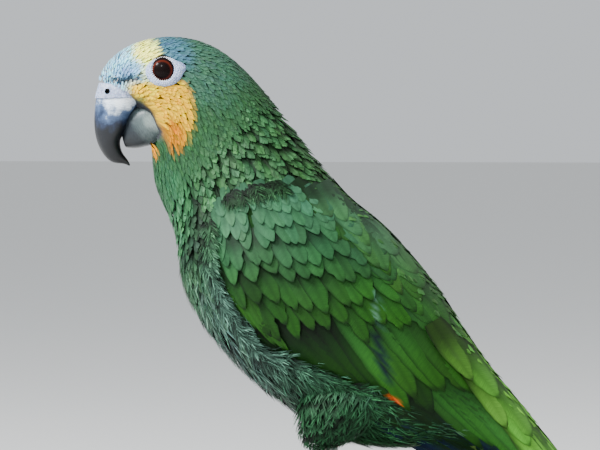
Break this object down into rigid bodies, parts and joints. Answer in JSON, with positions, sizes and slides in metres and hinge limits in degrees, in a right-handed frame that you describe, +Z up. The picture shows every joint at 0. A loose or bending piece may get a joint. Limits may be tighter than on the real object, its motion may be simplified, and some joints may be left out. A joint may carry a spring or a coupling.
{
  "type": "amazon parrot model",
  "caption": "Life-size still model of a green amazon parrot with a yellow cheek, perched upright on a short cut branch that a round display stand holds.",
  "frame": {"origin": "middle of the stand base's underside", "axes": "+Z up; the bird faces -Y and its left side is at +X; the perch lies along X"},
  "size_m": [0.156, 0.2271, 0.2498],
  "materials": {
    "green_feather": "matt grey-green contour feathers of head, neck, back and rump",
    "breast_feather": "matt grey-green shaggy contour feathers of breast, belly and thighs",
    "wing_feather": "satin green flight feathers and coverts with a blue edge and an orange patch",
    "tail_feather": "satin green tail feathers with paler tips",
    "grey_horn": "polished horn, pale grey with a dark tip",
    "pale_horn": "polished horn, pale grey",
    "grey_cere": "bare lavender-grey skin",
    "brown_eye": "glossy black pupil in a red-brown iris",
    "grey_scute": "matt grey scaled skin",
    "dark_claw": "glossy near-black horn",
    "bark": "rough grey-brown bark with pale sawn ends",
    "stand_wood": "satin dark wood",
    "stand_steel": "brushed steel"
  },
  "bodies": {
    "root": {"head": "green_feather", "neck": "green_feather", "trunk": "green_feather", "tail": "tail_feather", "wing_L": "wing_feather", "wing_R": "wing_feather", "thigh_L": "breast_feather", "thigh_R": "breast_feather", "beak_upper": "grey_horn", "beak_lower": "pale_horn", "cere": "grey_cere", "eye_L": "brown_eye", "eye_R": "brown_eye", "foot_L": "grey_scute", "foot_R": "grey_scute", "claw_front_inner_L": "dark_claw", "claw_front_inner_R": "dark_claw", "claw_front_outer_L": "dark_claw", "claw_front_outer_R": "dark_claw", "claw_back_inner_L": "dark_claw", "claw_back_inner_R": "dark_claw", "claw_back_outer_L": "dark_claw", "claw_back_outer_R": "dark_claw", "stand_base": "stand_wood", "stand_rod": "stand_steel", "stand_perch": "bark"}
  },
  "joints": []
}
